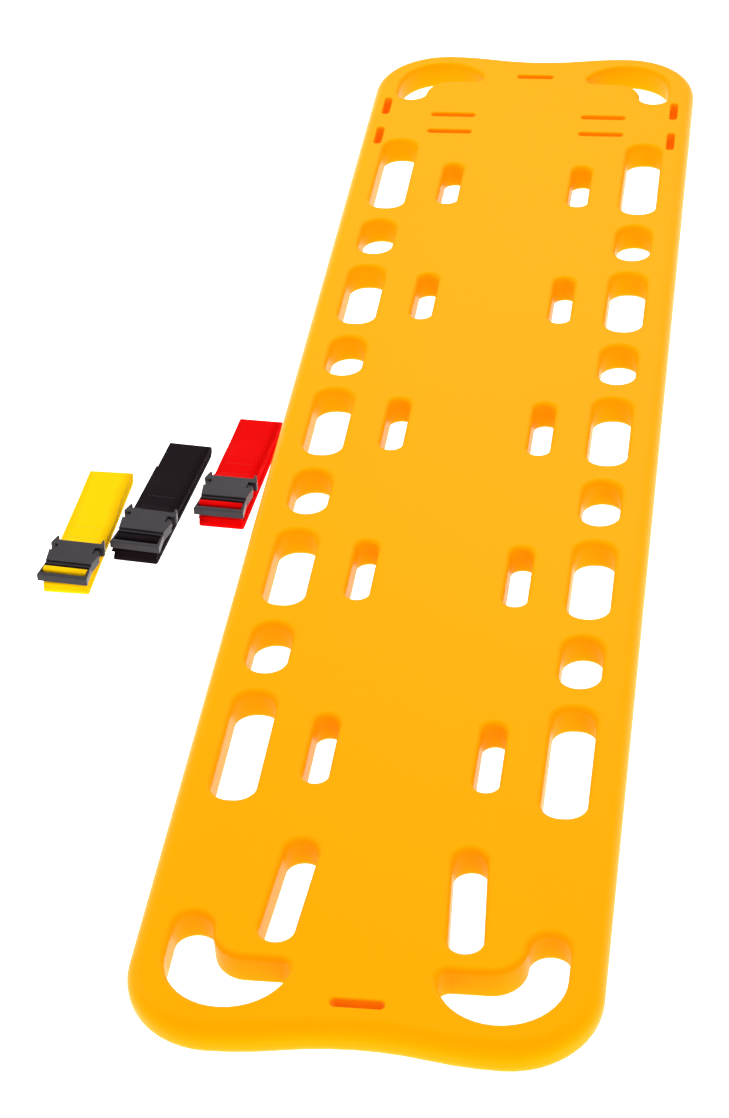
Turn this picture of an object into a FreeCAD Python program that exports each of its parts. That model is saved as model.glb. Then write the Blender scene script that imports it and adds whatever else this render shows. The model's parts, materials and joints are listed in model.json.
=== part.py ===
import FreeCAD, Part
import math
import os
import Sketcher
from FreeCAD import Vector

# Long spine board with three patient straps, in millimetres.
# X runs across the board, +Y runs to its head end and +Z runs up. The origin is
# the centre of the board's footprint, on the surface that its runners rest on.

DRIVING_SIZES = [
    ("board_length", 1868, "head end to foot end"),
    ("board_width", 440, "side to side"),
    ("board_thickness", 36, "outside of deck skin to outside of base skin"),
    ("skin_wall", 3.5, "thickness of the moulded skins"),
    ("edge_radius", 16, "rounding of the board's outer edge"),
    ("head_corner", 96, "plan radius of the head corners"),
    ("foot_corner", 86, "plan radius of the foot corners"),
    ("end_dip", 13, "depth of the shallow hollow in each end"),
    ("rim_radius", 6, "rounding of the handhold rims"),
    ("slot_rim_radius", 2, "rounding of the strap slot rims"),
    ("grip_edge", 57, "side of the board to the middle of the outer handholds"),
    ("grip_width", 45, "width of the long handholds"),
    ("grip_corner", 20.5, "plan corner radius of the long handholds"),
    ("head_row_inset", 363, "head end to the first row"),
    ("foot_row_inset", 402, "foot end to the last row"),
    ("grip_web", 33, "bar left between two handholds"),
    ("thumb_width", 43, "width of the short handholds"),
    ("thumb_length", 80, "length of the short handholds"),
    ("head_grip_inset", 252, "head end to the first long handhold"),
    ("foot_grip_inset", 306, "foot end to the last long handhold"),
    ("column_bar", 43.3, "bar left between the outer handholds and the inner slots"),
    ("pin_width", 25, "width of the inner slots"),
    ("pin_length", 100, "length of the inner slots"),
    ("leg_width", 33, "width of the long slot at the foot"),
    ("leg_length", 135, "length of the long slot at the foot"),
    ("leg_inset", 186, "foot end to the centre of that slot"),
    ("leg_splay", 3.5, "how far each of its ends leans off line"),
    ("rim_band", 34, "bar left outside the corner handholds"),
    ("bend_radius", 60, "outer bend of the corner handholds"),
    ("lobe_radius", 19.5, "round end of a corner handhold beside the side"),
    ("crook_radius", 34, "inner bend of the corner handholds"),
    ("tail_radius", 12, "narrow end of the corner handholds"),
    ("head_lobe_inset", 116, "head end to the centre of the lobes"),
    ("foot_lobe_inset", 129, "foot end to the centre of the lobes"),
    ("slot_width", 10, "width of every strap slot"),
    ("centre_slot_length", 50, "length of the slots on the centre line"),
    ("head_slot_inset", 67, "head end to its centre slot"),
    ("foot_slot_inset", 46, "foot end to its centre slot"),
    ("cross_slot_length", 60, "length of the four crosswise slots"),
    ("cross_slot_edge", 118, "side of the board to the middle of the crosswise slots"),
    ("cross_slot_inset", 179, "head end to the first crosswise pair"),
    ("cross_slot_step", 46, "first crosswise pair to the second"),
    ("side_slot_length", 45, "length of the four slots along the sides"),
    ("side_slot_edge", 24, "side of the board to the side slots"),
    ("side_slot_inset", 158, "head end to the first side slot"),
    ("side_slot_step", 82, "first side slot to the second"),
    ("runner_height", 12, "how far the runners lift the skin"),
    ("runner_edge", 4, "rounding of the runners"),
    ("centre_runner_width", 60, "width of the middle runner"),
    ("side_runner_width", 22, "width of the outer runners, midway between the columns of holes"),
    ("runner_end_inset", 236, "end of the board to the end of the runners"),
    ("rod_diameter", 12, "stiffener rods in the foam"),
    ("rod_end_inset", 280, "end of the board to the end of a rod"),
    ("port_diameter", 22, "foaming port in the base skin"),
    ("plug_flange", 30, "diameter of the port plugs"),
    ("plug_flange_height", 2, "thickness of the plug flange"),
    ("port_inset", 150, "end of the board to a foaming port"),
    ("fit_gap", 0.3, "clearance between pieces that move or slide together"),
    ("webbing_width", 50, "strap webbing"),
    ("webbing_thickness", 1.4, "strap webbing"),
    ("bundle_height", 16, "folded strap, floor to top layer"),
    ("bundle_corner", 5, "rounding of the folds"),
    ("buckle_height", 12, "side release buckle"),
    ("mouth_cheek", 0.9, "how far the housing stands out beside the webbing's channel at its mouth"),
    ("window_cheek", 5.4, "how far it stands out beside that channel at its release windows"),
    ("horn_width", 1.9, "width of a horn at its tip"),
    ("housing_mouth", 9, "buckle middle to the mouth of the housing"),
    ("housing_plate", 29, "buckle middle to the edge of the top plate"),
    ("horn_reach", 36, "buckle middle to the horn tips"),
    ("buckle_wall", 2, "plates of the housing"),
    ("throat_cheek", 2, "side wall of the housing at its mouth"),
    ("throat_depth", 32, "depth of the housing behind its mouth"),
    ("window_start", 10, "buckle middle to the release windows"),
    ("window_length", 11, "release windows"),
    ("window_depth", 9.5, "how far the windows cut in from the side"),
    ("overshoot", 5, "how far a cutting shape runs past the face that it opens"),
    ("bar_height", 3, "crossbars that carry webbing"),
    ("bar_depth", 4, "crossbars that carry webbing"),
    ("bar_lift", 2.2, "underside of the buckle to its crossbars"),
    ("ladder_reach", 33, "buckle middle to the end of the insert"),
    ("ladder_rail", 3.4, "side rail of the insert at its end"),
    ("ladder_front", 3, "solid front of the insert outside the mouth"),
    ("end_bar", 4.5, "end bar of the insert"),
    ("ladder_bar", 5, "bar that the webbing is threaded round"),
    ("guide_width", 12, "centre guide of the insert"),
    ("guide_reach", 18, "buckle middle to the tip of the centre guide"),
    ("arm_room", 5.5, "inside wall of the housing to the middle of a latch arm"),
    ("arm_width", 4, "latch arms"),
    ("pad_width", 9, "thumb pads on the latch arms"),
    ("pad_play", 1, "room in the window behind a thumb pad"),
    ("pad_bevel", 3, "how far the outer corner of a thumb pad is cut back"),
    ("root_lap", 2, "how far the nose and the guide of the insert run into the piece behind them"),
    ("guide_step", 1, "how far the centre guide stands back from the faces of the nose"),
    ("lap_length", 38, "sewn lap behind the housing"),
]

# For each strap: side of the board to the bundle's middle, place along the board,
# length of the bundle, its lean and the further lean of its buckle, in degrees.
STRAPS = {
    "yellow": (193, -158, 216, 1.8, 4.0),
    "black": (118, -96, 213, 6.3, 1.0),
    "red": (40, -34, 198, 4.4, 0.4),
}

document = FreeCAD.newDocument("spine_board")
sheet = document.addObject("Spreadsheet::Sheet", "Sizes")


class Size:
    """A length, kept both as a number and as the expression that yields it."""

    def __init__(self, text, number):
        self.text = text
        self.number = number

    def join(self, sign, other, work):
        other = other if isinstance(other, Size) else Size(str(other), other)
        return Size("(%s %s %s)" % (self.text, sign, other.text), work(self.number, other.number))

    def __add__(self, other):
        return self.join("+", other, lambda a, b: a + b)

    def __sub__(self, other):
        return self.join("-", other, lambda a, b: a - b)

    def __mul__(self, other):
        return self.join("*", other, lambda a, b: a * b)

    def __truediv__(self, other):
        return self.join("/", other, lambda a, b: a / b)

    def __neg__(self):
        return self * -1

    def at_most(self, other):
        return Size("min(%s; %s)" % (self.text, other.text), min(self.number, other.number))


def fill_sheet():
    sizes = {}
    for row, (alias, number, meaning) in enumerate(DRIVING_SIZES, start=1):
        sheet.set("A%d" % row, meaning)
        sheet.set("B%d" % row, str(number))
        sheet.setAlias("B%d" % row, alias)
        sizes[alias] = Size("Sizes.%s" % alias, number)
    for colour, numbers in STRAPS.items():
        for name, number in zip(("aside", "along", "length", "lean", "twist"), numbers):
            row += 1
            alias = "%s_%s" % (colour, name)
            sheet.set("B%d" % row, str(number))
            sheet.setAlias("B%d" % row, alias)
            sizes[alias] = Size("Sizes.%s" % alias, number)
    document.recompute()
    return sizes


SIZES = fill_sheet()


def size(alias):
    return SIZES[alias]


def bind(feature, name, length):
    feature.setExpression(name, length.text)


# ---------------------------------------------------------------- sketching

def new_body(label):
    body = document.addObject("PartDesign::Body", label)
    body.Label = label
    return body


def new_sketch(body, name, lift=None):
    sketch = body.newObject("Sketcher::SketchObject", "%s_%s" % (body.Label, name))
    plane = [item for item in body.Origin.OriginFeatures if item.Role == "XY_Plane"][0]
    sketch.AttachmentSupport = [(plane, "")]
    sketch.MapMode = "FlatFace"
    if lift is not None:
        bind(sketch, "AttachmentOffset.Base.z", lift)
    return sketch


def polar(centre, radius, degrees):
    angle = math.radians(degrees)
    return (centre[0] + radius * math.cos(angle), centre[1] + radius * math.sin(angle))


def end_nearest(sketch, item, point):
    first = sketch.getPoint(item, 1)
    return 1 if math.hypot(first.x - point[0], first.y - point[1]) < 1e-3 else 2


def draw_loop(sketch, pieces, smooth=True):
    """Draws a closed loop of two-point lines and three-point arcs, joined at their ends."""
    items = []
    for points in pieces:
        corners = [Vector(x, y, 0) for x, y in points]
        curve = Part.LineSegment(*corners) if len(corners) == 2 else Part.Arc(*corners)
        items.append(sketch.addGeometry(curve, False))
    joint = "Tangent" if smooth else "Coincident"
    for place, item in enumerate(items):
        following = items[(place + 1) % len(items)]
        meeting = pieces[place][-1]
        sketch.addConstraint(Sketcher.Constraint(
            joint, item, end_nearest(sketch, item, meeting),
            following, end_nearest(sketch, following, meeting)))
    return items


def hold(sketch, kind, item, length, spot=3):
    """Holds a radius, or the place of a centre or end point, at a bound length."""
    if kind == "Radius":
        rule = Sketcher.Constraint(kind, item, length.number)
    else:
        rule = Sketcher.Constraint(kind, -1, 1, item, spot, length.number)
    place = sketch.addConstraint(rule)
    bind(sketch, "Constraints[%d]" % place, length)


def hold_centre(sketch, item, x, y):
    hold(sketch, "DistanceX", item, x)
    hold(sketch, "DistanceY", item, y)


def draw_slot(sketch, top, bottom, radius):
    """A straight slot between two end centres."""
    a = (top[0].number, top[1].number)
    b = (bottom[0].number, bottom[1].number)
    turn = math.degrees(math.atan2(a[1] - b[1], a[0] - b[0]))
    reach = radius.number
    items = draw_loop(sketch, [
        [polar(a, reach, turn - 90), polar(a, reach, turn), polar(a, reach, turn + 90)],
        [polar(a, reach, turn + 90), polar(b, reach, turn + 90)],
        [polar(b, reach, turn + 90), polar(b, reach, turn + 180), polar(b, reach, turn + 270)],
        [polar(b, reach, turn + 270), polar(a, reach, turn - 90)]])
    for item, centre in ((items[0], top), (items[2], bottom)):
        hold(sketch, "Radius", item, radius)
        hold_centre(sketch, item, *centre)


def draw_upright_slot(sketch, x, y, width, length):
    reach = (length - width) / 2
    draw_slot(sketch, (x, y + reach), (x, y - reach), width / 2)


def draw_cross_slot(sketch, x, y, width, length):
    reach = (length - width) / 2
    draw_slot(sketch, (x + reach, y), (x - reach, y), width / 2)


def draw_rounded_rectangle(sketch, x, y, width, length, radius):
    inset = [(width / 2 - radius), (length / 2 - radius)]
    quarters = [(1, 1, 0), (-1, 1, 90), (-1, -1, 180), (1, -1, 270)]
    centres = [(x + inset[0] * right, y + inset[1] * up) for right, up, _ in quarters]
    arcs = []
    for (cx, cy), (_, _, start) in zip(centres, quarters):
        middle = (cx.number, cy.number)
        arcs.append([polar(middle, radius.number, start + part) for part in (0, 45, 90)])
    pieces = []
    for place, arc in enumerate(arcs):
        pieces += [arc, [arc[-1], arcs[(place + 1) % 4][0]]]
    items = draw_loop(sketch, pieces)
    for item, centre in zip(items[0::2], centres):
        hold(sketch, "Radius", item, radius)
        hold_centre(sketch, item, *centre)


def draw_polygon(sketch, corners):
    numbers = [(x.number, y.number) for x, y in corners]
    sides = [[point, numbers[(place + 1) % len(numbers)]] for place, point in enumerate(numbers)]
    items = draw_loop(sketch, sides, smooth=False)
    for item, (x, y) in zip(items, corners):
        hold(sketch, "DistanceX", item, x, spot=1)
        hold(sketch, "DistanceY", item, y, spot=1)


def draw_box(sketch, low, high):
    draw_polygon(sketch, [(low[0], low[1]), (high[0], low[1]), (high[0], high[1]), (low[0], high[1])])


def pad(body, sketch, height, down=False):
    feature = body.newObject("PartDesign::Pad", sketch.Name + "_pad")
    feature.Profile = sketch
    feature.Reversed = down
    bind(feature, "Length", height)
    sketch.Visibility = False
    document.recompute()
    return feature


def pocket(body, sketch, depth=None):
    """Cuts upwards from the sketch, right through unless a depth is given."""
    before = body.Shape.Volume
    feature = body.newObject("PartDesign::Pocket", sketch.Name + "_cut")
    feature.Profile = sketch
    feature.Reversed = True
    if depth is None:
        feature.Type = "ThroughAll"
    else:
        bind(feature, "Length", depth)
    document.recompute()
    if not body.Shape.Volume < before:
        raise RuntimeError("%s removed nothing" % feature.Name)
    return feature


def repeat_down(body, feature, sketch, span, count):
    """Repeats a cut along -Y over a bound span."""
    pattern = body.newObject("PartDesign::LinearPattern", feature.Name + "_row")
    pattern.Originals = [feature]
    pattern.Direction = (sketch, ["V_Axis"])
    pattern.Reversed = True
    pattern.Occurrences = count
    bind(pattern, "Length", span)
    body.Tip = pattern
    document.recompute()


def round_edges(body, radius, wanted):
    """Rounds the edges, in the body's own frame, that a test picks out."""
    base = body.Tip
    names = ["Edge%d" % number for number, edge in enumerate(base.Shape.Edges, start=1) if wanted(edge)]
    feature = body.newObject("PartDesign::Fillet", "%s_round%d" % (body.Label, len(body.Group)))
    feature.Base = (base, names)
    bind(feature, "Radius", radius)
    document.recompute()


# -------------------------------------------------------------------- board

half_length = size("board_length") / 2
half_width = size("board_width") / 2
first_row = half_length - size("head_row_inset")
last_row = -half_length + size("foot_row_inset")
row_pitch = (first_row - last_row) / 4
grip_length = row_pitch - size("thumb_length") - size("grip_web") * 2
grip_column = half_width - size("grip_edge")
pin_column = grip_column - size("grip_width") / 2 - size("column_bar") - size("pin_width") / 2
runner_column = grip_column - (size("grip_width") + size("column_bar")) / 2
head_grip_length = half_length - size("head_grip_inset") - first_row + grip_length / 2
foot_grip_length = half_length - size("foot_grip_inset") + last_row + grip_length / 2

# The outer rounding stays clear of the slots along the sides and of the other skin.
edge_round = size("edge_radius").at_most(
    size("side_slot_edge") - size("slot_width") / 2 - size("slot_rim_radius") - 1).at_most(
    size("board_thickness") / 2 - 1)


def draw_end(corner, sign, inset):
    """The five arcs of one end, from its right side to its left, with their centres and radii."""
    crest = half_width - corner
    dip = size("end_dip")
    sweep = (crest * crest / dip + dip) / 4
    end_y = half_length * sign
    rings = [
        (crest, end_y - corner * sign, corner - inset),
        (crest, end_y - sweep * sign, sweep - inset),
        (Size("0", 0), end_y + (sweep - dip) * sign, sweep + inset),
        (-crest, end_y - sweep * sign, sweep - inset),
        (-crest, end_y - corner * sign, corner - inset)]
    lean = math.degrees(math.asin(crest.number / 2 / sweep.number))
    stretches = [(0, 90), (90, 90 + lean), (270 + lean, 270 - lean), (90 - lean, 90), (90, 180)]
    pieces = []
    for (x, y, radius), (start, stop) in zip(rings, stretches):
        angles = (start, (start + stop) / 2, stop)
        pieces.append([polar((x.number, y.number), radius.number, sign * angle) for angle in angles])
    return pieces, rings


def draw_outline(sketch, inset):
    head, head_rings = draw_end(size("head_corner"), 1, inset)
    foot, foot_rings = draw_end(size("foot_corner"), -1, inset)
    foot = [piece[::-1] for piece in foot[::-1]]
    foot_rings = foot_rings[::-1]
    left = [head[-1][-1], foot[0][0]]
    right = [foot[-1][-1], head[0][0]]
    items = draw_loop(sketch, head + [left] + foot + [right])
    for ends, rings in ((items[0:5], head_rings), (items[6:11], foot_rings)):
        for item, (x, y, radius) in zip(ends, rings):
            hold(sketch, "Radius", item, radius)
        for item, (x, y, radius) in list(zip(ends, rings))[1:4]:
            hold(sketch, "DistanceY", item, y)
        sketch.addConstraint(Sketcher.Constraint("PointOnObject", ends[2], 3, -2))
    for item, side in ((items[5], -1), (items[11], 1)):
        sketch.addConstraint(Sketcher.Constraint("Vertical", item))
        hold(sketch, "DistanceX", item, (half_width - inset) * side, spot=1)


def draw_corner_grip(sketch, side, sign, lobe_inset, grow):
    """A comma shaped handhold that follows one corner of the board."""
    bend = size("bend_radius") + grow
    lobe = size("lobe_radius") + grow
    crook = size("crook_radius") - grow
    tail = size("tail_radius") + grow
    bend_x = half_width - size("rim_band") - size("bend_radius")
    bend_inset = size("rim_band") + size("bend_radius")
    lobe_x = half_width - size("rim_band") - size("lobe_radius")
    crook_x = lobe_x - size("lobe_radius") - size("crook_radius")
    tail_inset = lobe_inset - size("crook_radius") - size("tail_radius")
    drop = bend_inset.number - tail_inset.number
    reach = size("bend_radius").number - size("tail_radius").number
    tail_x = bend_x.number - math.sqrt(reach * reach - drop * drop)
    lean = math.degrees(math.acos(drop / reach))

    def spot(x, inset, radius, degrees):
        px, py = polar((x, -inset), radius, degrees)
        return (side * px, sign * (half_length.number + py))

    def arc(x, inset, radius, start, stop):
        return [spot(x, inset, radius, angle) for angle in (start, (start + stop) / 2, stop)]

    bend_piece = arc(bend_x.number, bend_inset.number, bend.number, 0, 90 + lean)
    tail_piece = arc(tail_x, tail_inset.number, tail.number, 90 + lean, 270)
    crook_piece = arc(crook_x.number, lobe_inset.number, crook.number, 90, 0)
    lobe_piece = arc(lobe_x.number, lobe_inset.number, lobe.number, 180, 360)
    items = draw_loop(sketch, [
        bend_piece, tail_piece, [tail_piece[-1], crook_piece[0]],
        crook_piece, lobe_piece, [lobe_piece[-1], bend_piece[0]]])
    for item, radius in zip((items[0], items[1], items[3], items[4]), (bend, tail, crook, lobe)):
        hold(sketch, "Radius", item, radius)
    sketch.addConstraint(Sketcher.Constraint("Horizontal", items[2]))
    sketch.addConstraint(Sketcher.Constraint("Vertical", items[5]))
    hold_centre(sketch, items[0], bend_x * side, (half_length - bend_inset) * sign)
    for item in (items[3], items[4]):
        hold(sketch, "DistanceY", item, (half_length - lobe_inset) * sign)


def cut_handholds(body, grow):
    """Cuts the handholds and strap slots, each one grown by the skin for the foam."""
    widen = grow * 2
    both = (1, -1)

    grips = new_sketch(body, "grips")
    for side in both:
        draw_rounded_rectangle(
            grips, grip_column * side, first_row - row_pitch,
            size("grip_width") + widen, grip_length + widen, size("grip_corner") + grow)
    repeat_down(body, pocket(body, grips), grips, row_pitch * 2, 3)

    thumbs = new_sketch(body, "thumbs")
    for side in both:
        draw_upright_slot(
            thumbs, grip_column * side, first_row - row_pitch / 2,
            size("thumb_width") + widen, size("thumb_length") + widen)
    repeat_down(body, pocket(body, thumbs), thumbs, row_pitch * 3, 4)

    pins = new_sketch(body, "pins")
    for side in both:
        draw_upright_slot(
            pins, pin_column * side, first_row,
            size("pin_width") + widen, size("pin_length") + widen)
    repeat_down(body, pocket(body, pins), pins, row_pitch * 3, 4)

    ends = new_sketch(body, "end_grips")
    head_grip_y = half_length - size("head_grip_inset") - head_grip_length / 2
    foot_grip_y = -half_length + size("foot_grip_inset") + foot_grip_length / 2
    for side in both:
        for y, length in ((head_grip_y, head_grip_length), (foot_grip_y, foot_grip_length)):
            draw_rounded_rectangle(
                ends, grip_column * side, y, size("grip_width") + widen,
                length + widen, size("grip_corner") + grow)
        draw_upright_slot(
            ends, pin_column * side, foot_grip_y,
            size("pin_width") + widen, size("pin_length") + widen)
        leg_y = -half_length + size("leg_inset")
        leg_reach = (size("leg_length") - size("leg_width")) / 2
        draw_slot(
            ends, ((pin_column - size("leg_splay")) * side, leg_y + leg_reach),
            ((pin_column + size("leg_splay")) * side, leg_y - leg_reach),
            size("leg_width") / 2 + grow)
    pocket(body, ends)

    corners = new_sketch(body, "corner_grips")
    for side in both:
        draw_corner_grip(corners, side, 1, size("head_lobe_inset"), grow)
        draw_corner_grip(corners, side, -1, size("foot_lobe_inset"), grow)
    pocket(body, corners)

    slots = new_sketch(body, "strap_slots")
    width = size("slot_width") + widen
    centre = Size("0", 0)
    draw_cross_slot(slots, centre, half_length - size("head_slot_inset"), width,
                    size("centre_slot_length") + widen)
    draw_cross_slot(slots, centre, -half_length + size("foot_slot_inset"), width,
                    size("centre_slot_length") + widen)
    for side in both:
        for step in (0, 1):
            draw_cross_slot(
                slots, (half_width - size("cross_slot_edge")) * side,
                half_length - size("cross_slot_inset") - size("cross_slot_step") * step,
                width, size("cross_slot_length") + widen)
            draw_upright_slot(
                slots, (half_width - size("side_slot_edge")) * side,
                half_length - size("side_slot_inset") - size("side_slot_step") * step,
                width, size("side_slot_length") + widen)
    pocket(body, slots)


def add_runners(body, inset):
    """Three moulded runners below the base."""
    runners = new_sketch(body, "runners")
    length = size("board_length") - size("runner_end_inset") * 2 - inset * 2
    for x, width in ((Size("0", 0), size("centre_runner_width")),
                     (runner_column, size("side_runner_width")),
                     (-runner_column, size("side_runner_width"))):
        draw_upright_slot(runners, x, Size("0", 0), width - inset * 2, length)
    return pad(body, runners, size("runner_height"), down=True)


def board_form(label, inset, height, lift):
    body = new_body(label)
    outline = new_sketch(body, "outline")
    draw_outline(outline, inset)
    pad(body, outline, height)
    cut_handholds(body, inset)
    bind(body, "Placement.Base.z", lift)
    return body


def rim_edges(body, height):
    """The rim loops of the flat face at a height of the body: its outline, handholds and slots."""
    faces = [face for face in body.Tip.Shape.Faces
             if isinstance(face.Surface, Part.Plane) and face.Area > 1e5
             and abs(face.BoundBox.ZMin - height) < 1e-6 and abs(face.BoundBox.ZMax - height) < 1e-6]
    face = max(faces, key=lambda item: item.Area)
    loops = {"outline": [], "handholds": [], "slots": []}
    for wire in face.Wires:
        box = wire.BoundBox
        if box.YLength > half_length.number:
            kind = "outline"
        elif min(box.XLength, box.YLength) < size("slot_width").number + 0.5:
            kind = "slots"
        else:
            kind = "handholds"
        loops[kind] += wire.Edges
    return loops


def same_edges(edges):
    return lambda edge: any(edge.isSame(other) for other in edges)


def round_rims(body, height):
    for kind, radius in (("outline", edge_round), ("handholds", size("rim_radius")),
                         ("slots", size("slot_rim_radius"))):
        round_edges(body, radius, same_edges(rim_edges(body, height)[kind]))


def subtract(label, base, tool):
    cut = document.addObject("Part::Cut", label)
    cut.Label = label
    cut.Base = base
    cut.Tool = tool
    document.recompute()
    return cut


def cylinder(label, diameter, height, place):
    item = document.addObject("Part::Cylinder", label)
    item.Label = label
    bind(item, "Radius", diameter / 2)
    bind(item, "Height", height)
    for axis, length in zip("xyz", place):
        bind(item, "Placement.Base.%s" % axis, length)
    return item


def fuse(label, items):
    joined = document.addObject("Part::MultiFuse", label)
    joined.Label = label
    joined.Shapes = items
    document.recompute()
    return joined


def build_board():
    thickness = size("board_thickness")
    wall = size("skin_wall")
    floor = size("runner_height")
    none = Size("0", 0)
    half = thickness / 2

    core_height = thickness - wall * 2
    core = board_form("core_form", wall, core_height, floor + wall)
    round_edges(core, edge_round - wall, same_edges(
        rim_edges(core, core_height.number)["outline"] + rim_edges(core, 0)["outline"]))
    add_runners(core, wall)

    deck = board_form("deck_form", none, half, floor + half)
    round_rims(deck, half.number)

    base = board_form("base_form", none, half, floor)
    round_rims(base, 0)
    add_runners(base, none)
    runner_bottom = -floor.number
    round_edges(base, size("runner_edge"), lambda edge: (
        abs(edge.BoundBox.ZMax - runner_bottom) < 1e-6))

    rod_length = size("board_length") - size("rod_end_inset") * 2
    rods = []
    for name, side in (("left", -1), ("right", 1)):
        rod = cylinder("stiffener_rod_" + name, size("rod_diameter"), rod_length,
                       (runner_column * side, rod_length / 2, floor + half))
        rod.Placement.Rotation = FreeCAD.Rotation(Vector(1, 0, 0), 90)
        rods.append(rod)

    plugs = []
    ports = []
    for name, sign in (("head", 1), ("foot", -1)):
        y = (half_length - size("port_inset")) * sign
        ports.append(cylinder("port_" + name, size("port_diameter"), wall, (none, y, floor)))
        stem = cylinder("plug_stem_" + name, size("port_diameter") - 0.1, wall, (none, y, floor))
        flange = cylinder("plug_flange_" + name, size("plug_flange"), size("plug_flange_height"),
                          (none, y, floor - size("plug_flange_height")))
        plugs.append(fuse("foam_port_plug_" + name, [stem, flange]))

    deck_skin = subtract("deck_skin", deck, core)
    base_closed = subtract("base_closed", base, core)
    base_skin = subtract("base_skin", base_closed, fuse("ports", ports))
    foam_core = subtract("foam_core", core, fuse("rod_bores", rods))
    return [deck_skin, base_skin, foam_core] + rods + plugs


# ------------------------------------------------------------------- straps

def strap_frame(colour):
    """The frame of a folded strap on the floor, leaning by its own angle."""
    place = Vector(-(half_width + size(colour + "_aside")).number, size(colour + "_along").number, 0)
    return FreeCAD.Placement(place, FreeCAD.Rotation(Vector(0, 0, 1), -size(colour + "_lean").number))


def buckle_frame(colour):
    """The frame of a buckle on top of its strap: +Y to the horns, +Z up, ends flush."""
    seat = (size("bundle_height") + size("fit_gap")).number
    set_back = (size(colour + "_length") / 2 - size("ladder_reach")).number
    on_strap = FreeCAD.Placement(
        Vector(0, -set_back, seat),
        FreeCAD.Rotation(Vector(0, 0, 1), -size(colour + "_twist").number))
    return strap_frame(colour).multiply(on_strap)


def mirrored(points):
    """A polygon from its right half, listed from foot to head."""
    return points + [(-x, y) for x, y in reversed(points)]


def build_bundle(colour):
    body = new_body(colour + "_webbing_bundle")
    sketch = new_sketch(body, "plan")
    length = size(colour + "_length")
    draw_box(sketch, (-size("webbing_width") / 2, -length / 2),
             (size("webbing_width") / 2, length / 2))
    pad(body, sketch, size("bundle_height"))
    half = length.number / 2
    round_edges(body, size("bundle_corner"), lambda edge: (
        edge.BoundBox.YLength < 1e-6 and edge.BoundBox.ZLength < 1e-6
        and abs(abs(edge.BoundBox.YMin) - half) < 1e-6))
    return body


channel = size("webbing_width") / 2 + size("fit_gap") * 2
mouth_half = channel + size("mouth_cheek")
window_half = channel + size("window_cheek")
throat_half = mouth_half - size("throat_cheek")
arm_column = throat_half - size("arm_room")


def crossbar_place():
    return size("horn_reach") - size("bar_depth") / 2 - size("fit_gap") * 2


def build_housing(colour):
    body = new_body(colour + "_buckle_housing")
    height = size("buckle_height")
    mouth = -size("housing_mouth")
    plate = size("housing_plate")
    horn = size("horn_reach")
    shoulder = size("window_start") + size("window_length") + size("buckle_wall") * 1.5

    outline = new_sketch(body, "outline")
    draw_polygon(outline, mirrored([
        (mouth_half, mouth), (window_half, shoulder),
        (channel + size("horn_width"), horn), (channel, horn), (channel, plate)]))
    pad(body, outline, height)
    round_edges(body, size("buckle_wall") / 2, lambda edge: (
        edge.BoundBox.ZMin > height.number - 1e-6 and edge.BoundBox.ZLength < 1e-6))

    throat = new_sketch(body, "throat", size("buckle_wall"))
    draw_box(throat, (-throat_half, mouth - size("overshoot")),
             (throat_half, mouth + size("throat_depth")))
    pocket(body, throat, height - size("buckle_wall") * 2)

    windows = new_sketch(body, "windows")
    inner = window_half - size("window_depth")
    outer = window_half + size("overshoot")
    start = size("window_start")
    stop = start + size("window_length")
    draw_box(windows, (inner, start), (outer, stop))
    draw_box(windows, (-outer, start), (-inner, stop))
    pocket(body, windows)

    bar = new_sketch(body, "crossbar", size("bar_lift"))
    middle = crossbar_place()
    overlap = size("buckle_wall") / 2
    draw_box(bar, (-channel - overlap, middle - size("bar_depth") / 2),
             (channel + overlap, middle + size("bar_depth") / 2))
    pad(body, bar, size("bar_height"))
    return body


def build_insert(colour):
    body = new_body(colour + "_buckle_insert")
    gap = size("fit_gap")
    lift = size("buckle_wall") + gap
    height = size("buckle_height") - lift * 2
    reach = -size("ladder_reach")
    mouth = -size("housing_mouth") - gap
    front = mouth - size("ladder_front")
    tongue = throat_half - gap
    nose = -size("housing_mouth") + size("buckle_wall") * 2

    frame = new_sketch(body, "frame")
    draw_polygon(frame, mirrored([
        (channel + size("ladder_rail"), reach), (mouth_half, mouth)]))
    pad(body, frame, size("buckle_height") - size("buckle_wall") - gap)
    round_edges(body, size("buckle_wall") / 2, lambda edge: edge.BoundBox.ZLength < 1e-6)

    root = new_sketch(body, "root", lift)
    draw_box(root, (-tongue, mouth - size("root_lap")), (tongue, nose))
    pad(body, root, height)

    guide = new_sketch(body, "guide", lift + size("guide_step"))
    draw_box(guide, (-size("guide_width") / 2, nose - size("root_lap")),
             (size("guide_width") / 2, size("guide_reach")))
    pad(body, guide, height - size("guide_step") * 2)

    slots = new_sketch(body, "slots")
    far = reach + size("end_bar")
    bar_low = far + (front - far - size("ladder_bar")) / 2
    draw_box(slots, (-channel, far), (channel, bar_low))
    draw_box(slots, (-channel, bar_low + size("ladder_bar")), (channel, front))
    pocket(body, slots)
    return body


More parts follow.
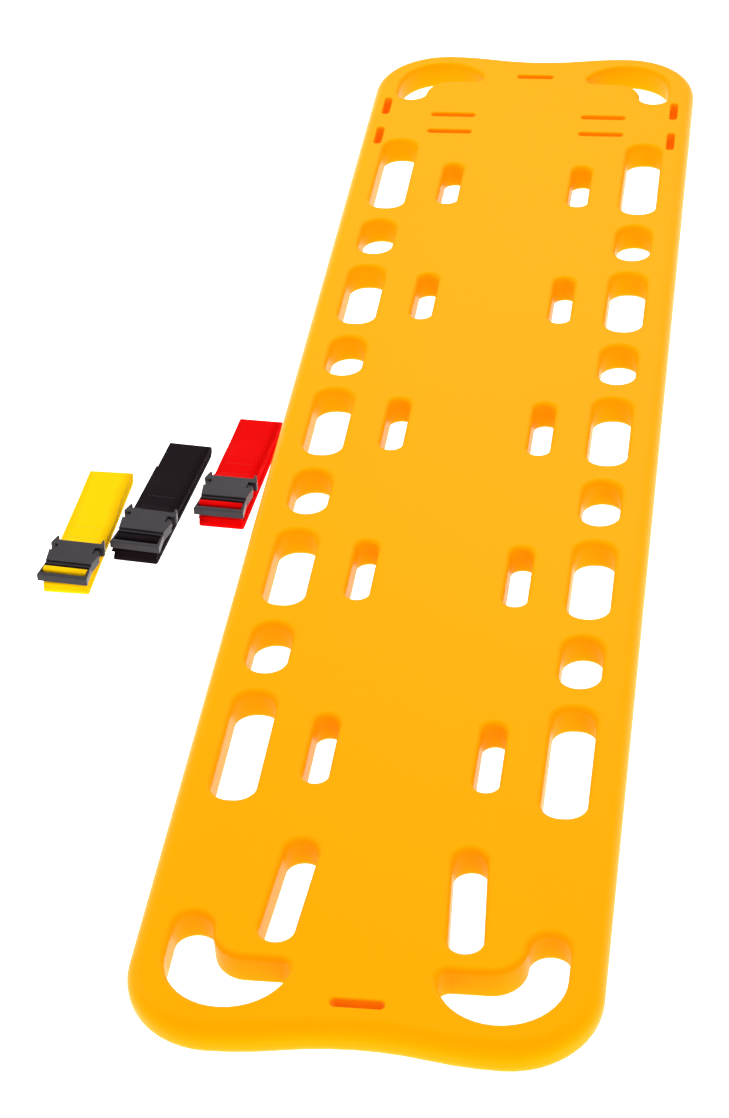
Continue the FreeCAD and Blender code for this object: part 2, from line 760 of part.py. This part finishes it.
def build_arm(colour, name, side):
    """A latch arm: a springy beam on a round root, with a thumb pad that fills the window."""
    body = new_body("%s_latch_arm_%s" % (colour, name))
    gap = size("fit_gap")
    lift = size("buckle_wall") + gap
    half = size("arm_width") / 2
    root_y = -size("housing_mouth") + size("buckle_wall") * 2 + half + gap
    start = size("window_start") + gap
    stop = start + size("window_length") - gap * 2 - size("pad_play")

    beam = new_sketch(body, "beam", lift)
    draw_slot(beam, (arm_column * side, stop - half), (arm_column * side, root_y), half)
    pad(body, beam, size("buckle_height") - lift * 2)

    thumb = new_sketch(body, "pad", lift)
    tip = arm_column + size("pad_width")
    corners = [(arm_column, start), (tip, start), (tip, stop - size("pad_bevel")),
               (tip - size("pad_bevel"), stop), (arm_column, stop)]
    draw_polygon(thumb, [(x * side, y) for x, y in corners])
    pad(body, thumb, size("buckle_height") - lift * 2)
    return body


def box(label, low, high):
    item = document.addObject("Part::Box", label)
    for name, axis in (("Length", 0), ("Width", 1), ("Height", 2)):
        bind(item, name, high[axis] - low[axis])
        bind(item, "Placement.Base." + "xyz"[axis], low[axis])
    return item


def build_sewn_loop(colour):
    """The webbing's end, folded round the housing's crossbar and sewn to itself."""
    gap = size("fit_gap")
    half = size("webbing_width") / 2
    sheet_thick = size("webbing_thickness")
    middle = crossbar_place()
    bar_half = size("bar_depth") / 2 + gap
    low = size("bar_lift") - gap
    high = size("bar_lift") + size("bar_height") + gap
    outside = box(colour + "_loop_outside", (-half, middle - bar_half - sheet_thick, low - sheet_thick),
                  (half, middle + bar_half + sheet_thick, high + sheet_thick))
    inside = box(colour + "_loop_inside", (-half, middle - bar_half, low), (half, middle + bar_half, high))
    lap = box(colour + "_loop_lap", (-half, middle + bar_half + sheet_thick / 2, low - sheet_thick),
              (half, middle + bar_half + size("lap_length"), low + sheet_thick))
    ring = subtract(colour + "_loop_ring", outside, inside)
    return fuse(colour + "_sewn_loop", [ring, lap])


def build_ladder_turn(colour):
    """The stretch of webbing that is threaded up round the ladder bar."""
    gap = size("fit_gap")
    half = size("webbing_width") / 2
    sheet_thick = size("webbing_thickness")
    far = -size("ladder_reach") + size("end_bar")
    front = -size("housing_mouth") - gap - size("ladder_front")
    middle = (far + front) / 2
    bar_half = size("ladder_bar") / 2 + gap
    top = size("buckle_height") - size("buckle_wall")
    floor = gap
    outside = box(colour + "_turn_outside", (-half, middle - bar_half - sheet_thick, floor),
                  (half, middle + bar_half + sheet_thick, top + sheet_thick))
    inside = box(colour + "_turn_inside", (-half, middle - bar_half, floor), (half, middle + bar_half, top))
    return subtract(colour + "_ladder_turn", outside, inside)


def build_strap(colour):
    bundle = build_bundle(colour)
    bundle.Placement = strap_frame(colour)
    on_buckle = [build_sewn_loop(colour), build_ladder_turn(colour), build_housing(colour),
                 build_insert(colour), build_arm(colour, "left", -1), build_arm(colour, "right", 1)]
    for item in on_buckle:
        item.Placement = buckle_frame(colour)
    return [bundle] + on_buckle


# ------------------------------------------------------------------- output

def check_document():
    document.recompute()
    for item in document.Objects:
        if "Invalid" in item.State or "Error" in item.State:
            raise RuntimeError("%s failed: %s" % (item.Label, item.State))


def write_parts(items):
    os.makedirs("parts", exist_ok=True)
    for item in items:
        shape = item.Shape
        if shape.isNull() or not shape.isValid() or not shape.Solids:
            raise RuntimeError("%s has no valid solid" % item.Label)
        print("%-28s %d solid(s) %10.1f cm3" % (item.Label, len(shape.Solids), shape.Volume / 1000))
        shape.exportStep("parts/%s.step" % item.Label)


parts = build_board()
for strap_colour in STRAPS:
    parts += build_strap(strap_colour)
check_document()
write_parts(parts)
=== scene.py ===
import bmesh
import bpy
import json
import math
import random
from mathutils import Matrix, Vector


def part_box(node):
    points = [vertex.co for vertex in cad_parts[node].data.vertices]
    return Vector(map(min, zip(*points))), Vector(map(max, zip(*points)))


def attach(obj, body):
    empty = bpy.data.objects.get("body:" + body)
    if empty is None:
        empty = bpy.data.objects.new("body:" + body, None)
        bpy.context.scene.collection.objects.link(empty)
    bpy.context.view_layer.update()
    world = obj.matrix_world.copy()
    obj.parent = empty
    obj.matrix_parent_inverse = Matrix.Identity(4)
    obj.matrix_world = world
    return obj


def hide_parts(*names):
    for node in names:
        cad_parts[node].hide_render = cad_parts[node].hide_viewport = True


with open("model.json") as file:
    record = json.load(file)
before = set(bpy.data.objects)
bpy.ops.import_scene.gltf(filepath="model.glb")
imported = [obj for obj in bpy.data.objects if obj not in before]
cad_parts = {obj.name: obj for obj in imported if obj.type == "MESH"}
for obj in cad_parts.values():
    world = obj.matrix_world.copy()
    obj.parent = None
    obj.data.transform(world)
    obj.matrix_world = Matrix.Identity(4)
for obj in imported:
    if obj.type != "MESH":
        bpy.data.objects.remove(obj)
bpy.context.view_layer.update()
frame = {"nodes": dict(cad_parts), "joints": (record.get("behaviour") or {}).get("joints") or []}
print("frame loaded:", len(frame["nodes"]), "nodes")


class Wire:  # a socket that can stand in a sum
    def __init__(self, paint, socket):
        self.paint = paint
        self.socket = socket

    def work(self, operation, first, second):
        return self.paint.node("ShaderNodeMath", {"operation": operation}, {0: first, 1: second})

    def __add__(self, other):
        return self.work("ADD", self, other)

    def __radd__(self, other):
        return self.work("ADD", other, self)

    def __sub__(self, other):
        return self.work("SUBTRACT", self, other)

    def __rsub__(self, other):
        return self.work("SUBTRACT", other, self)

    def __mul__(self, other):
        return self.work("MULTIPLY", self, other)

    def __rmul__(self, other):
        return self.work("MULTIPLY", other, self)

    def __gt__(self, other):
        return self.work("GREATER_THAN", self, other)

    def __lt__(self, other):
        return self.work("LESS_THAN", self, other)


class Paint:  # one material and its nodes
    def __init__(self, name):
        self.material = bpy.data.materials.new(name)
        self.material.use_nodes = True
        self.tree = self.material.node_tree
        self.tree.nodes.clear()

    def node(self, kind, settings=None, inputs=None, output=0):
        made = self.tree.nodes.new(kind)
        for name, value in (settings or {}).items():
            setattr(made, name, value)
        for name, value in (inputs or {}).items():
            if isinstance(value, Wire):
                self.tree.links.new(value.socket, made.inputs[name])
            else:
                made.inputs[name].default_value = value
        return Wire(self, made.outputs[output]) if made.outputs else None

    def place(self):
        return self.node("ShaderNodeTexCoord", output="Object")

    def part(self, where, axis):  # one of a vector's three numbers
        return self.node("ShaderNodeSeparateXYZ", {}, {"Vector": where}, axis)

    def noise(self, where, scale, detail=3.0):
        return self.node("ShaderNodeTexNoise", {}, {"Vector": where, "Scale": scale, "Detail": detail}, "Fac")

    def streaks(self, where, scale, detail=3.0):  # noise drawn out along an axis
        return self.noise(self.node("ShaderNodeMapping", {}, {"Vector": where, "Scale": scale}), 1.0, detail)

    def above(self, value, low, high):  # 0 below low, 1 above high
        return self.node("ShaderNodeMapRange", {}, {"Value": value, "From Min": low, "From Max": high})

    def reshape(self, operation, value):  # a sum with one term
        return self.node("ShaderNodeMath", {"operation": operation}, {0: value})

    def mix(self, factor, first, second):
        return self.node("ShaderNodeMix", {"data_type": "RGBA"}, {0: factor, 6: first, 7: second}, 2)

    def bump(self, height, strength, distance):
        return self.node("ShaderNodeBump", {}, {"Height": height, "Strength": strength, "Distance": distance})

    def finish(self, inputs):
        self.node("ShaderNodeOutputMaterial", {}, {"Surface": self.node("ShaderNodeBsdfPrincipled", {}, inputs)})
        return self.material


def colour(red, green, blue):
    return (red, green, blue, 1.0)


boardLook = {
    "deep": colour(0.95, 0.315, 0.0), "bright": colour(0.97, 0.345, 0.0), "worn": colour(1.0, 0.43, 0.0),
    "gloss": colour(1.0, 0.55, 0.0), "specular": 0.03, "roughness": 0.34, "rubbed": 0.18, "uneven": 0.06,
    "seamHeight": 0.030, "seamHalf": 0.0003, "seamDepth": 1.2, "relief": 0.25, "reliefHeight": 0.0006,
    "cloudScale": 2.2, "waveScale": 9.0, "peelScale": 420.0, "peel": 0.2,
    "scuffScale": (260.0, 18.0, 60.0), "scuffFrom": 0.66, "scuffTo": 0.8, "scuffs": 0.12,
}


def boardPaint(name, look):
    paint = Paint(name)
    where = paint.place()
    cloudy = paint.noise(where, look["cloudScale"], 4.0)
    peel = paint.noise(where, look["peelScale"], 2.0)
    waves = paint.noise(where, look["waveScale"], 2.0)
    scuffed = paint.above(paint.streaks(where, look["scuffScale"]), look["scuffFrom"], look["scuffTo"])
    seam = paint.reshape("ABSOLUTE", paint.part(where, 2) - look["seamHeight"]) < look["seamHalf"]
    skin = paint.mix(cloudy, look["deep"], look["bright"])
    relief = peel * look["peel"] + waves - seam * look["seamDepth"]
    return paint.finish({
        "Base Color": paint.mix(scuffed * look["scuffs"], skin, look["worn"]),
        "Roughness": look["roughness"] + scuffed * look["rubbed"] + (peel - 0.5) * look["uneven"],
        "Normal": paint.bump(relief, look["relief"], look["reliefHeight"]),
        "Specular IOR Level": look["specular"], "Specular Tint": look["gloss"]})


# Each strap has a thread colour and a darker shade colour. The shade colour is used both for painted shade in the
# weave's hollows and for random darker tone.
webbingLook = {
    "yellow": {"thread": colour(0.98, 0.62, 0.0), "shade": colour(0.90, 0.47, 0.0), "roughness": 0.72},
    "black": {"thread": colour(0.012, 0.007, 0.010), "shade": colour(0.005, 0.003, 0.004), "roughness": 0.66},
    "red": {"thread": colour(0.80, 0.0, 0.0), "shade": colour(0.55, 0.0, 0.0), "roughness": 0.7},
}
weave = {"rib": 0.0016, "pick": 0.0011, "slant": 0.6, "selvedge": 0.0225, "depth": 0.00022, "strength": 0.55,
         "fuzzScale": 900.0, "patchScale": 38.0, "selvedgeRib": 0.8, "fuzz": 0.5, "uneven": 0.12, "specular": 0.03}


def webbingPaint(name, look):  # ribs along the strap and picks across it, on the strip's own UV map in metres
    paint = Paint(name)
    where = paint.node("ShaderNodeUVMap", {"uv_map": "strip"})
    across, along = paint.part(where, 0), paint.part(where, 1)
    turn = 2 * math.pi
    rib = paint.reshape("SINE", across * (turn / weave["rib"]))
    pick = paint.reshape("SINE", (along + across * weave["slant"]) * (turn / weave["pick"]))
    cross = rib * pick
    edge = paint.reshape("ABSOLUTE", across) > weave["selvedge"]
    fuzz = paint.noise(paint.place(), weave["fuzzScale"], 2.0)
    patchy = paint.noise(paint.place(), weave["patchScale"])
    # This mix is partly painted shade: its weave share darkens the colour in the weave's hollows, while the fuzz and
    # patch shares are random tone.
    weaveShadeAndTone = (cross * 0.5 + 0.5) * 0.55 + fuzz * 0.25 + patchy * 0.2  # the three shares make 1
    relief = cross * (1 - edge) + rib * edge * weave["selvedgeRib"] + fuzz * weave["fuzz"]
    return paint.finish({
        "Base Color": paint.mix(weaveShadeAndTone, look["shade"], look["thread"]),
        "Roughness": look["roughness"] + fuzz * weave["uneven"],
        "Normal": paint.bump(relief, weave["strength"], weave["depth"]),
        "Specular IOR Level": weave["specular"]})


stitchLook = {"yellow": colour(0.9, 0.62, 0.08), "black": colour(0.07, 0.065, 0.07), "red": colour(0.75, 0.05, 0.05)}


def threadPaint(name, tint):
    paint = Paint(name)
    ply = paint.noise(paint.place(), 2600.0, 2.0)
    return paint.finish({
        "Base Color": paint.mix(ply, colour(*(part * 0.7 for part in tint[:3])), tint),
        "Roughness": 0.5 + ply * 0.2, "Normal": paint.bump(ply, 0.5, 0.0001), "Specular IOR Level": 0.2})


buckleLook = {
    "low": colour(0.016, 0.013, 0.017), "high": colour(0.034, 0.030, 0.038), "roughness": 0.30, "specular": 0.22,
    "grainScale": 1500.0, "flowScale": 45.0, "rubScale": 210.0, "rubFrom": 0.62, "rubTo": 0.78,
}


def bucklePaint(name, look):
    paint = Paint(name)
    where = paint.place()
    grain = paint.noise(where, look["grainScale"])
    flow = paint.noise(where, look["flowScale"])
    rubbed = paint.above(paint.noise(where, look["rubScale"], 4.0), look["rubFrom"], look["rubTo"])
    return paint.finish({
        "Base Color": paint.mix(flow * 0.7 + rubbed * 0.3, look["low"], look["high"]),
        "Roughness": look["roughness"] + grain * 0.12 + rubbed * 0.1,
        "Normal": paint.bump(grain, 0.25, 0.00012), "Specular IOR Level": look["specular"]})


def foamPaint(name):
    paint = Paint(name)
    cells = paint.node("ShaderNodeTexVoronoi", {}, {"Vector": paint.place(), "Scale": 700.0}, "Distance")
    tone = paint.noise(paint.place(), 30.0)
    return paint.finish({
        "Base Color": paint.mix(tone, colour(0.80, 0.68, 0.40), colour(0.93, 0.85, 0.62)),
        "Roughness": 0.85 + cells * 0.1, "Normal": paint.bump(cells, 0.6, 0.0005)})


def rodPaint(name):
    paint = Paint(name)
    streaks = paint.streaks(paint.place(), (900.0, 12.0, 900.0))
    return paint.finish({
        "Base Color": paint.mix(streaks, colour(0.02, 0.02, 0.022), colour(0.09, 0.09, 0.095)),
        "Roughness": 0.35 + streaks * 0.2, "Normal": paint.bump(streaks, 0.3, 0.0002)})


floorLook = {"low": colour(0.50, 0.50, 0.50), "high": colour(0.54, 0.54, 0.54), "glow": 1.7}


def floorPaint(name, look):
    paint = Paint(name)
    tone = paint.noise(paint.place(), 0.6)
    return paint.finish({
        "Base Color": paint.mix(tone, look["low"], look["high"]),
        "Roughness": 0.9 + tone * 0.05, "Specular IOR Level": 0.0,
        "Emission Color": colour(1.0, 1.0, 1.0), "Emission Strength": look["glow"]})


skin = boardPaint("amberSkin", boardLook)
plugSkin = boardPaint("plugSkin", dict(boardLook, deep=colour(0.82, 0.28, 0.0), bright=colour(0.88, 0.32, 0.0)))
foam = foamPaint("foamCells")
rod = rodPaint("compositeRod")
charcoal = bucklePaint("charcoalNylon", buckleLook)
webbing = {name: webbingPaint(name + "Webbing", look) for name, look in webbingLook.items()}
thread = {name: threadPaint(name + "Thread", tint) for name, tint in stitchLook.items()}
print("materials ready")


def dress(item, material):
    item.data.materials.clear()
    item.data.materials.append(material)


nodes = frame["nodes"]
for name, material in (("deck_skin", skin), ("base_skin", skin), ("foam_core", foam),
                       ("stiffener_rod_left", rod), ("stiffener_rod_right", rod),
                       ("foam_port_plug_head", plugSkin), ("foam_port_plug_foot", plugSkin)):
    dress(nodes[name], material)


def newPiece(name, mesh, material, smooth=True):
    data = bpy.data.meshes.new(name)
    mesh.to_mesh(data)
    mesh.free()
    piece = bpy.data.objects.new(name, data)
    bpy.context.scene.collection.objects.link(piece)
    data.materials.append(material)
    if smooth:
        data.shade_smooth()
    else:
        data.shade_flat()
    return piece


buckleEdge = {"weld": 0.00002, "flat": math.radians(2), "sharp": math.radians(28), "width": 0.0006, "segments": 2}


def softened(node, name, material):  # the moulded piece with its edges rounded
    mesh = bmesh.new()
    mesh.from_mesh(nodes[node].data)
    bmesh.ops.remove_doubles(mesh, verts=mesh.verts, dist=buckleEdge["weld"])
    bmesh.ops.dissolve_limit(mesh, angle_limit=buckleEdge["flat"], verts=mesh.verts, edges=mesh.edges)
    sharp = [edge for edge in mesh.edges if edge.is_manifold and edge.calc_face_angle() > buckleEdge["sharp"]]
    bmesh.ops.bevel(mesh, geom=sharp, offset=buckleEdge["width"], offset_type="OFFSET", affect="EDGES",
                    segments=buckleEdge["segments"], profile=0.5, material=-1, clamp_overlap=True)
    bmesh.ops.triangulate(mesh, faces=mesh.faces)
    piece = newPiece(name, mesh, material, smooth=False)
    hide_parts(node)
    return piece


# A strap's roll: the top layer comes down from the buckle, goes round the head end and winds inwards.
roll = {"width": 0.0496, "boxWidth": 0.05, "thickness": 0.0013, "height": 0.016, "layers": 11, "step": 0.006,
        "bend": 10, "lanes": 4, "jitter": 0.0004, "dent": 0.0016, "dentPlace": 0.25, "dentWidth": 0.2}
loop = {"barMiddle": 0.0334, "barHeight": 0.0037, "halfDepth": 0.0030, "halfHeight": 0.0025, "tailHeight": 0.0012,
        "lapStart": 0.0445, "lapEnd": 0.070, "lapGap": 0.00015, "landing": 0.125, "barLength": 0.0015,
        "gatherBefore": 0.02, "gatherAfter": 0.01, "bend": 8, "steps": 6}
strapShape = {
    "yellow": {"lean": 1.8, "shiftLow": 0.0006, "freeShift": -0.0006, "freeEnd": 0.030, "foot": 0.001},
    "black": {"lean": 6.3, "shiftLow": -0.0012, "freeShift": -0.0052, "freeEnd": 0.043, "foot": 0.0075},
    "red": {"lean": 4.4, "shiftLow": 0.0022, "freeShift": -0.0024, "freeEnd": 0.047, "foot": 0.006},
}
seatGap = 0.0003  # between the bundle and the buckle
rootPlace = Vector((0.0, -0.0027, 0.006))  # latch arm roots, midway between them, in the buckle's frame


def strapFrame(name):
    low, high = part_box(name + "_webbing_bundle")
    middle = (low + high) / 2
    lean = math.radians(strapShape[name]["lean"])
    length = ((high.y - low.y) - roll["boxWidth"] * math.sin(lean)) / math.cos(lean)
    return Matrix.Translation((middle.x, middle.y, low.z)) @ Matrix.Rotation(-lean, 4, "Z"), length


def buckleFrame(name):
    spots = {joint["name"]: Vector(joint["pos_m"]) for joint in frame["joints"] if "pos_m" in joint}
    left, right = spots[name + "_squeeze_left"], spots[name + "_squeeze_right"]
    across = (right - left).normalized()
    turn = math.atan2(across.y, across.x)
    spin = Matrix.Rotation(turn, 4, "Z")
    origin = (left + right) / 2 - spin @ rootPlace
    return Matrix.Translation(origin) @ spin


def ease(value, low, high):
    share = min(1.0, max(0.0, (value - low) / (high - low)))
    return share * share * (3 - 2 * share)


# Points down the middle of a strap: sideways, along, up, and how far each belongs to the buckle's frame.
def rollPath(name, length, seat):  # seat is the buckle's place along the strap
    shape = strapShape[name]
    draws = random.Random(name)
    thick, layers = roll["thickness"], roll["layers"]
    topLayer = layers - 1
    half = length / 2
    landing, lapEnd = seat + loop["landing"], seat + loop["lapEnd"]

    def pitch(along):
        share = ease(along, lapEnd - loop["gatherBefore"], landing + loop["gatherAfter"])
        below = (roll["height"] - thick) / (topLayer - 1)
        return below + share * ((roll["height"] - thick) / topLayer - below)

    def level(layer, along):
        return thick / 2 + layer * pitch(along)

    jitter = [draws.uniform(-roll["jitter"], roll["jitter"]) for _ in range(layers)]

    def aside(layer, along):
        down = 1 - layer / topLayer
        extra = 0.0
        if layer == 5:  # the free end, in the middle of the roll
            extra = shape["freeShift"]
        elif layer == 4:
            extra = shape["freeShift"] * (1 - ease(along, -half, half * 0.5))
        return shape["shiftLow"] * down + jitter[layer] + extra

    points = []  # first the sewn end, round the housing's crossbar
    bar = seat + loop["barMiddle"]
    bottom = roll["height"] + seatGap + loop["tailHeight"]
    middle = roll["height"] + seatGap + loop["barHeight"]
    steps = loop["steps"]
    for step in range(steps + 1):
        points.append((0, lapEnd - (lapEnd - bar) * step / steps, bottom, 1))
    for step in range(1, loop["bend"]):
        angle = math.pi * step / loop["bend"]
        back, down = loop["halfDepth"] * math.sin(angle), loop["halfHeight"] * math.cos(angle)
        points.append((0, bar - back, middle - down, 1))
    top = middle + loop["halfHeight"]
    lapTop = bottom + thick + loop["lapGap"]
    start = seat + loop["lapStart"]
    for step in range(steps + 1):
        along = bar + (start - bar) * step / steps
        points.append((0, along, top + (lapTop - top) * ease(along, bar + loop["barLength"], start), 1))
    for step in range(1, steps + 1):
        points.append((0, start + (lapEnd - start) * step / steps, lapTop, 1))
    steps = int((landing - lapEnd) / roll["step"]) + 2
    for step in range(1, steps + 1):
        along = lapEnd + (landing - lapEnd) * step / steps
        share = ease(along, lapEnd, landing)
        down = lapTop + (level(topLayer, landing) - lapTop) * share
        points.append((aside(topLayer, along) * share, along, down, 1 - share))

    headCentre = half - (level(topLayer, half) - level(0, half)) / 2
    footCentre = -half + (level(topLayer - 1, -half) - level(0, -half)) / 2

    def run(layer, begin, end):
        count = max(2, int(abs(end - begin) / roll["step"]))
        for step in range(1, count + 1):
            along = begin + (end - begin) * step / count
            points.append((aside(layer, along), along, level(layer, along), 0))

    def bend(upper, lower, centre, sign, downwards):
        a, b = (upper, lower) if downwards else (lower, upper)
        high, low = level(upper, centre), level(lower, centre)
        radius = (high - low) / 2
        for step in range(1, roll["bend"]):
            angle = math.pi * step / roll["bend"]
            rise = math.cos(angle) if downwards else -math.cos(angle)
            share = step / roll["bend"]
            reach = radius * math.sin(angle)
            if sign < 0 and shape["foot"]:
                deep = (1 - rise) / 2
                outer = (upper - lower) / (topLayer - 1)  # 1 on the outermost fold
                reach += shape["foot"] * math.sin(angle) * (deep ** 2) * outer
                reach -= roll["dent"] * math.exp(-((rise - roll["dentPlace"]) / roll["dentWidth"]) ** 2) * outer
            points.append((aside(a, centre) * (1 - share) + aside(b, centre) * share,
                           centre + sign * reach, (high + low) / 2 + radius * rise, 0))

    run(topLayer, landing, headCentre)
    upper, lower = topLayer, 0
    while True:
        bend(upper, lower, headCentre, 1, True)
        points.append((aside(lower, headCentre), headCentre, level(lower, headCentre), 0))
        run(lower, headCentre, footCentre)
        upper -= 1
        bend(upper, lower, footCentre, -1, False)
        points.append((aside(upper, footCentre), footCentre, level(upper, footCentre), 0))
        if upper - lower <= 1:
            run(upper, footCentre, half - shape["freeEnd"])
            break
        run(upper, footCentre, headCentre)
        lower += 1
    return points


def buildStrap(name):
    onStrap, length = strapFrame(name)
    onBuckle = buckleFrame(name)
    seat = (onStrap.inverted() @ onBuckle.translation).y
    path = rollPath(name, length, seat)
    half = roll["width"] / 2
    toBuckle = onBuckle @ Matrix.Translation((0, -seat, -(roll["height"] + seatGap)))

    def spot(point, side):
        sideways, along, up, share = point
        place = Vector((sideways + side, along, up))
        a, b = onStrap @ place, toBuckle @ place
        return a.lerp(b, share)

    mesh = bmesh.new()
    uv = mesh.loops.layers.uv.new("strip")
    distance, rows = 0.0, {}
    for before, point in zip([path[0]] + path, path):
        distance += (spot(point, 0) - spot(before, 0)).length
        rows[mesh.verts.new(spot(point, -half))] = (point, distance)
    edges = [mesh.edges.new(pair) for pair in zip(list(rows), list(rows)[1:])]
    made = bmesh.ops.extrude_edge_only(mesh, edges=edges)["geom"]
    twins = {}
    for vert in [item for item in made if isinstance(item, bmesh.types.BMVert)]:
        twins[vert] = next(link.other_vert(vert) for link in vert.link_edges if link.other_vert(vert) in rows)
        vert.co = spot(rows[twins[vert]][0], half)
    for face in mesh.faces:
        for corner in face.loops:
            vert = corner.vert
            corner[uv].uv = (half, rows[twins[vert]][1]) if vert in twins else (-half, rows[vert][1])
    across = [edge for edge in mesh.edges if (edge.verts[0] in twins) != (edge.verts[1] in twins)]
    bmesh.ops.subdivide_edges(mesh, edges=across, cuts=roll["lanes"] - 1, use_grid_fill=True)
    bmesh.ops.recalc_face_normals(mesh, faces=mesh.faces)
    piece = newPiece(name + "_webbing", mesh, webbing[name])
    thicken = piece.modifiers.new("thickness", "SOLIDIFY")
    thicken.thickness = roll["thickness"]
    thicken.offset = 0
    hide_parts(name + "_webbing_bundle", name + "_sewn_loop")
    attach(piece, name + "_strap")
    print(name, "webbing", round(distance, 3), "m in", len(path), "points")
    return onBuckle


ladder = {"halfDepth": 0.0035, "crown": 0.002, "bend": 6, "shortest": 0.0101}


def buildLadderTurn(name, onBuckle):  # the short stretch of webbing over the insert's bar
    low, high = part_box(name + "_ladder_turn")
    inverse = onBuckle.inverted()
    corners = [inverse @ Vector((x, y, z))
               for x in (low.x, high.x) for y in (low.y, high.y) for z in (low.z, high.z)]
    bottom, top = min(c.z for c in corners), max(c.z for c in corners)
    middle = (min(c.y for c in corners) + max(c.y for c in corners)) / 2
    thick, reach, crown = roll["thickness"], ladder["halfDepth"], ladder["crown"]
    half = roll["width"] / 2
    outline = [(middle - reach, bottom + thick)]
    for step in range(ladder["bend"] + 1):
        angle = math.pi - math.pi * step / ladder["bend"]
        outline.append((middle + reach * math.cos(angle), top - thick / 2 - crown + crown * math.sin(angle)))
    outline.append((middle + reach, bottom + thick))
    mesh = bmesh.new()
    verts = [mesh.verts.new((-half, y, z)) for y, z in outline]
    edges = [mesh.edges.new(pair) for pair in zip(verts, verts[1:])]
    made = bmesh.ops.extrude_edge_only(mesh, edges=edges)["geom"]
    farSide = [item for item in made if isinstance(item, bmesh.types.BMVert)]
    bmesh.ops.translate(mesh, vec=(2 * half, 0, 0), verts=farSide)
    uv = mesh.loops.layers.uv.new("strip")
    for face in mesh.faces:
        for corner in face.loops:
            corner[uv].uv = (corner.vert.co.x, corner.vert.co.y + corner.vert.co.z)
    bmesh.ops.transform(mesh, matrix=onBuckle, verts=mesh.verts)
    bmesh.ops.recalc_face_normals(mesh, faces=mesh.faces)
    piece = newPiece(name + "_ladder_webbing", mesh, webbing[name])
    thicken = piece.modifiers.new("thickness", "SOLIDIFY")
    thicken.thickness = thick
    thicken.offset = 0
    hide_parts(name + "_ladder_turn")
    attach(piece, name + "_insert")


stitch = {"inset": 0.006, "length": 0.0030, "gap": 0.0012, "radius": 0.00032, "lift": 0.00022,
          "rows": (0.046, 0.066)}


def buildStitches(name, onBuckle):  # the two rows of stitches across the lap
    mesh = bmesh.new()
    top = loop["tailHeight"] + roll["thickness"] * 1.5 + stitch["lift"]
    reach = roll["width"] / 2 - stitch["inset"]
    count = int(2 * reach / (stitch["length"] + stitch["gap"]))
    for row in stitch["rows"]:
        for place in range(count):
            x = -reach + (stitch["length"] + stitch["gap"]) * (place + 0.5)
            made = bmesh.ops.create_icosphere(mesh, subdivisions=1, radius=1.0)["verts"]
            bmesh.ops.scale(mesh, vec=(stitch["length"] / 2, stitch["radius"], stitch["radius"]), verts=made)
            bmesh.ops.translate(mesh, vec=(x, row, top), verts=made)
    bmesh.ops.transform(mesh, matrix=onBuckle, verts=mesh.verts)
    piece = newPiece(name + "_stitches", mesh, thread[name])
    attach(piece, name + "_strap")


for name in strapShape:
    onBuckle = buildStrap(name)
    buildLadderTurn(name, onBuckle)
    buildStitches(name, onBuckle)
    for part, body in (("buckle_housing", "strap"), ("buckle_insert", "insert"),
                       ("latch_arm_left", "arm_left"), ("latch_arm_right", "arm_right")):
        piece = softened(name + "_" + part, name + "_" + part + "_moulding", charcoal)
        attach(piece, name + "_" + body)
print("straps ready")


studio = {
    "floor": 30.0, "under": 0.0004, "world": 0.92,  # each lamp: place, target, size, power
    "keyBox": ((-2.2, 0.6, 2.6), (0, 0, 0), (1.6, 3.2), 52.0),
    "headBox": ((0.4, 3.2, 2.4), (0, 0.4, 0), (2.4, 1.2), 32.0),
    "fillBox": ((2.4, -1.2, 2.2), (0, -0.2, 0), (1.4, 2.4), 20.0),
}

mesh = bmesh.new()
bmesh.ops.create_grid(mesh, x_segments=1, y_segments=1, size=studio["floor"] / 2)
bmesh.ops.translate(mesh, vec=(0, 0, -studio["under"]), verts=mesh.verts)
floor = newPiece("floor", mesh, floorPaint("paleFloor", floorLook), smooth=False)

world = bpy.data.worlds.new("softWhite")
world.use_nodes = True
sky = world.node_tree.nodes["Background"].inputs
sky["Color"].default_value = colour(1.0, 1.0, 1.0)
sky["Strength"].default_value = studio["world"]
bpy.context.scene.world = world


def softbox(name, place, target, size, power):
    lamp = bpy.data.lights.new(name, "AREA")
    lamp.shape = "RECTANGLE"
    lamp.size, lamp.size_y = size
    lamp.energy = power
    item = bpy.data.objects.new(name, lamp)
    item.location = place
    item.rotation_euler = (Vector(target) - Vector(place)).to_track_quat("-Z", "Y").to_euler()
    bpy.context.scene.collection.objects.link(item)


for lampName in ("keyBox", "headBox", "fillBox"):
    softbox(lampName, *studio[lampName])

view = {"place": (0.3467, -2.6031, 1.8903), "heading": 10.339, "tilt": 52.526, "roll": -3.826,
        "lens": 89.93, "sensor": 36.0}
camera = bpy.data.cameras.new("camera")
camera.sensor_fit = "VERTICAL"
camera.sensor_height = view["sensor"]
camera.lens = view["lens"]
cameraItem = bpy.data.objects.new("camera", camera)
bpy.context.scene.collection.objects.link(cameraItem)
cameraItem.matrix_world = (Matrix.Translation(view["place"]) @ Matrix.Rotation(math.radians(view["heading"]), 4, "Z")
                           @ Matrix.Rotation(math.radians(view["tilt"]), 4, "X")
                           @ Matrix.Rotation(math.radians(view["roll"]), 4, "Z"))
bpy.context.scene.camera = cameraItem
bpy.context.scene.view_settings.view_transform = "Standard"
print("studio ready")
